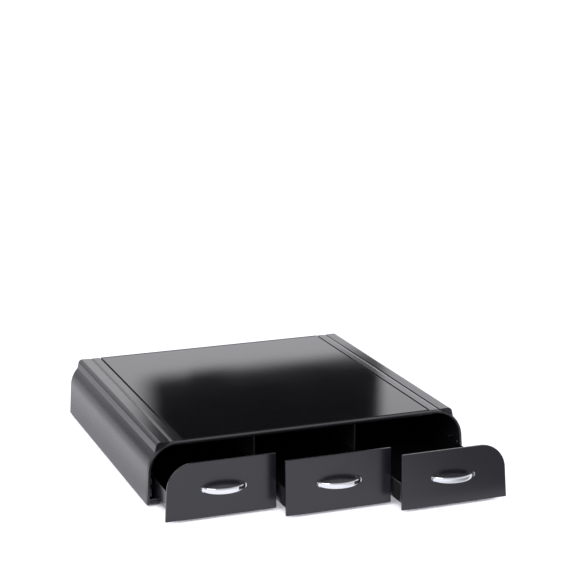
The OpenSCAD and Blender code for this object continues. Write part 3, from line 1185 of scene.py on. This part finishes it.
@dataclass(frozen=True)
class ViewCamera:
    """The camera, in front of the casing's left, above it and looking a little down."""

    place: Place = (-0.59034, -1.73320, 0.60143)
    turn: float = math.radians(19.913)
    down: float = math.radians(13.295)
    roll: float = math.radians(-0.534)
    lens: float = 109.852
    sensor: float = 36.0
    clip: Pair = (0.05, 60.0)

    def build(self) -> None:
        """Makes the camera from its three angles."""
        ahead = math.cos(self.down)
        forward = Vector((math.sin(self.turn) * ahead, math.cos(self.turn) * ahead, -math.sin(self.down)))
        level = Vector((math.cos(self.turn), -math.sin(self.turn), 0))
        upright = level.cross(forward)
        c, s = math.cos(self.roll), math.sin(self.roll)
        right = c * level + s * upright
        up = -s * level + c * upright
        data = bpy.data.cameras.new("view")
        data.lens, data.sensor_width = self.lens, self.sensor
        data.clip_start, data.clip_end = self.clip
        camera = placed("view", data)
        aimed = Matrix((right, up, -forward)).transposed().to_4x4()
        camera.matrix_world = Matrix.Translation(self.place) @ aimed
        bpy.context.scene.camera = camera


@dataclass(frozen=True)
class Softbox:
    """A rectangular soft light."""

    name: str
    place: Place
    aim: Place
    size: Pair
    power: float

    def build(self) -> None:
        """Makes the light, turned to its aim and unseen by the camera."""
        data = bpy.data.lights.new(self.name, "AREA")
        data.shape = "RECTANGLE"
        data.size, data.size_y = self.size
        data.energy = self.power
        light = placed(self.name, data)
        light.visible_camera = False
        light.location = self.place
        light.rotation_euler = (Vector(self.aim) - Vector(self.place)).to_track_quat("-Z", "Y").to_euler()


def sheet(name: str, size: Pair, material: Material) -> bpy.types.Object:
    """Makes a flat rectangle that faces up, with its middle at its origin.

    Args:
        name: Its name.
        size: Its size in x and y.
        material: Its material.

    Returns:
        The object.
    """
    corners = np.array([[-1, -1, 0], [1, -1, 0], [1, 1, 0], [-1, 1, 0]]) * [*size, 0] / 2
    mesh = bpy.data.meshes.new(name)
    mesh.from_pydata(corners.tolist(), [], [[0, 1, 2, 3]])
    mesh.materials.append(material)
    return placed(name, mesh)


class Stance(Enum):
    """How a card is held, as its turn about X."""

    UPRIGHT = math.pi / 2
    FLAT = 0.0


@dataclass(frozen=True)
class Flag:
    """A black card that takes light out of reflections only, with edges that fade out.

    It is seen by glossy rays alone, so it throws no shadow. Its cover falls to nothing over the width fade
    along each edge: it is multiplied, for both directions, by a smooth step of how far in the point is.
    """

    name: str
    centre: Place
    size: Pair
    stance: Stance
    fade: Pair
    cover: float = 1.0

    def material(self) -> Material:
        """Builds the card's material, black where it covers and clear where it doesn't.

        Returns:
            The material.
        """
        material, tree = blank_material(self.name)
        parts = add_node(tree, "ShaderNodeSeparateXYZ", {"Vector": object_place(tree)}).outputs
        cover: Any = self.cover
        for part, size, fade in zip((parts["X"], parts["Y"]), self.size, self.fade):
            off = calculated(tree, "ABSOLUTE", part)
            inside = smooth_step(tree, off, (size / 2 - fade, size / 2), (1.0, 0.0))
            cover = calculated(tree, "MULTIPLY", inside, cover)
        clear = add_node(tree, "ShaderNodeBsdfTransparent").outputs["BSDF"]
        black = add_node(tree, "ShaderNodeEmission", {"Color": linear("#000000")}).outputs["Emission"]
        mixed = add_node(tree, "ShaderNodeMixShader", {0: cover, 1: clear, 2: black}).outputs["Shader"]
        add_node(tree, "ShaderNodeOutputMaterial", {"Surface": mixed})
        return material

    def build(self) -> None:
        """Builds the card."""
        card = sheet(self.name, self.size, self.material())
        card.location = self.centre
        card.rotation_euler = (self.stance.value, 0, 0)
        card.visible_camera = card.visible_diffuse = card.visible_shadow = card.visible_transmission = False


@dataclass
class Studio:
    """A pale floor that merges into a pale backdrop, under soft light.

    shade_span is in shares of open sky. The other spans say over which values of a direction's x, y or z the
    surround changes.
    """

    floor_size: float = 28.0
    floor_colour: str = "#98989a"
    glow_colour: str = "#f7f6ff"
    floor_glow: float = 1.06
    shade_reach: float = 20 * MM
    shade_span: Pair = (0.12, 0.3)
    surround_colour: str = "#fbfbff"
    horizon: float = 1.15
    zenith: float = 0.5
    overhead_span: Pair = (0.15, 0.7)
    low: Pair = (0.7, 1.02)
    low_span: Pair = (0.0, 0.35)
    dim_side: Pair = (0.41, 0.88)
    dim_span: Pair = (0.0, 0.22)
    side_span: Pair = (-0.38, 0.15)
    front_share: float = 1.5
    bright_corner: float = 1.5
    corner_span: Pair = (0.05, 0.25)

    def build_floor(self) -> None:
        """Builds the floor, a matt white sheet that glows, as a lit sweep does, so that it stays white.

        Its glow goes by how much of the sky over it is open within shade_reach: it has none up to the first
        value of shade_span, a painted shade right under the casing and the drawers, and all of it from the
        second on.
        """
        material, tree = blank_material("matt_white_sheet")
        # Painted shade: the sheet's glow dies away where little sky is open, under the casing and the
        # drawers.
        open_sky = add_node(tree, "ShaderNodeAmbientOcclusion", {"Distance": self.shade_reach}, samples=6)
        glow = smooth_step(tree, open_sky.outputs["AO"], self.shade_span, (0.0, self.floor_glow))
        principled(tree, {
            "Base Color": linear(self.floor_colour), "Roughness": 0.9, "Specular IOR Level": 0.1,
            "Emission Color": linear(self.glow_colour), "Emission Strength": glow})
        sheet("studio_floor", (self.floor_size, self.floor_size), material)

    def build_surround(self) -> None:
        """Builds the surround.

        Its brightness rises a little over the lowest third and falls overhead. Behind, it also falls towards
        the left, most of all low down: it is multiplied by a smooth step of x less front_share times the part
        of y in front. Where both x and y are large, behind on the right, it rises again.
        """
        world = bpy.data.worlds.new("studio_surround")
        world.use_nodes = True
        tree = world.node_tree
        tree.nodes.clear()
        direction = add_node(tree, "ShaderNodeTexCoord").outputs["Generated"]
        x, y, z = add_node(tree, "ShaderNodeSeparateXYZ", {"Vector": direction}).outputs
        overhead = smooth_step(tree, z, self.overhead_span, (self.horizon, self.zenith))
        low = smooth_step(tree, z, self.low_span, self.low)
        in_front = calculated(tree, "MINIMUM", y, 0.0)
        across = calculated(tree, "MULTIPLY_ADD", in_front, -self.front_share, x)
        dim = smooth_step(tree, z, self.dim_span, self.dim_side)
        side = smooth_step(tree, across, self.side_span, (dim, 1.0))
        behind_right = calculated(tree, "MINIMUM", x, y)
        corner = smooth_step(tree, behind_right, self.corner_span, (1.0, self.bright_corner))
        strength = overhead
        for part in (low, side, corner):
            strength = calculated(tree, "MULTIPLY", strength, part)
        back = add_node(tree, "ShaderNodeBackground", {
            "Color": linear(self.surround_colour), "Strength": strength})
        add_node(tree, "ShaderNodeOutputWorld", {"Surface": back.outputs["Background"]})
        bpy.context.scene.world = world

    def build(self) -> None:
        """Builds the floor, the surround, the light, the flags and the camera."""
        self.build_floor()
        self.build_surround()
        upright, flat = Stance.UPRIGHT, Stance.FLAT
        for thing in (
            Softbox("left_softbox", (-1.3, -0.9, 1.1), (0, -0.1, 0.03), (1.0, 0.8), 12),
            Flag("back_flag", (0.1025, 0.185, 0.21), (0.265, 0.24), upright, (0.02, 0.02)),
            Flag("back_left_flag", (-0.0235, 0.184, 0.21), (0.147, 0.24), upright, (0.045, 0.02)),
            Flag("left_flag", (-0.34, 0.17, 0.19), (0.32, 0.28), upright, (0.14, 0.02), cover=0.42),
            Flag("front_flag", (0.30, -0.51, 0.001), (0.60, 0.48), flat, (0.22, 0.04), cover=0.7),
            Flag("far_left_flag", (-2.19, 2.45, 0.001), (4.0, 5.1), flat, (0.1, 0.4), cover=0.33),
            Flag("foot_flag", (-0.18, 0.09, 0.001), (0.05, 0.6), flat, (0.02, 0.12), cover=0.35),
            ViewCamera(),
        ):
            thing.build()
        bpy.context.scene.view_settings.view_transform = "Standard"


def main() -> None:
    """Builds every piece in order."""
    logging.basicConfig(level=logging.INFO, format="%(name)s %(message)s")
    casing = MouldedPlastic("satin_black_abs", "#1a1a1e", 0.25).material()
    top = MouldedPlastic("fine_grained_black_abs", "#121215", 0.14, specular=0.24).material()
    inner = MouldedPlastic("plain_black_abs", "#151516", 0.45, relief=0.01 * MM).material()
    tray = MouldedPlastic("smooth_black_polystyrene", "#111113", 0.18, 2 * MM, 0.006 * MM).material()
    front = MouldedPlastic("semi_gloss_black_abs", "#19171e", 0.22, 1.6 * MM, 0.004 * MM).material()
    rubber = MouldedPlastic("black_rubber", "#141415", 0.75, 0.8 * MM, 0.03 * MM, specular=0.3).material()
    chrome = PlatedMetal("bright_chrome_plate", "#dcdee1", 0.07).material()
    steel = PlatedMetal("zinc_plated_steel", "#b4b6ba", 0.3).material()

    side_low, side_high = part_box("right_side_panel")
    frame_low, frame_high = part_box("front_frame")
    arch = Arch(half_width=side_high.x, height=frame_high.z - frame_low.z, base=frame_low.z)
    FrontFrame(arch, frame_low.y).build(casing)
    for side in Side:
        SidePanel(arch, side, side_low.y, side_high.y).build(casing)
    TopPanel(*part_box("top_panel")).build(top)
    RearPanel(arch, *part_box("rear_panel")).build(casing)
    underside = Underside(side_low.z)
    underside.build_screws(steel)
    underside.build_feet(rubber)
    underside.dress(inner)
    for bay in Bay:
        Drawer(bay, arch).build(tray, front, chrome, steel)
    Studio().build()


if __name__ == "__main__":
    main()
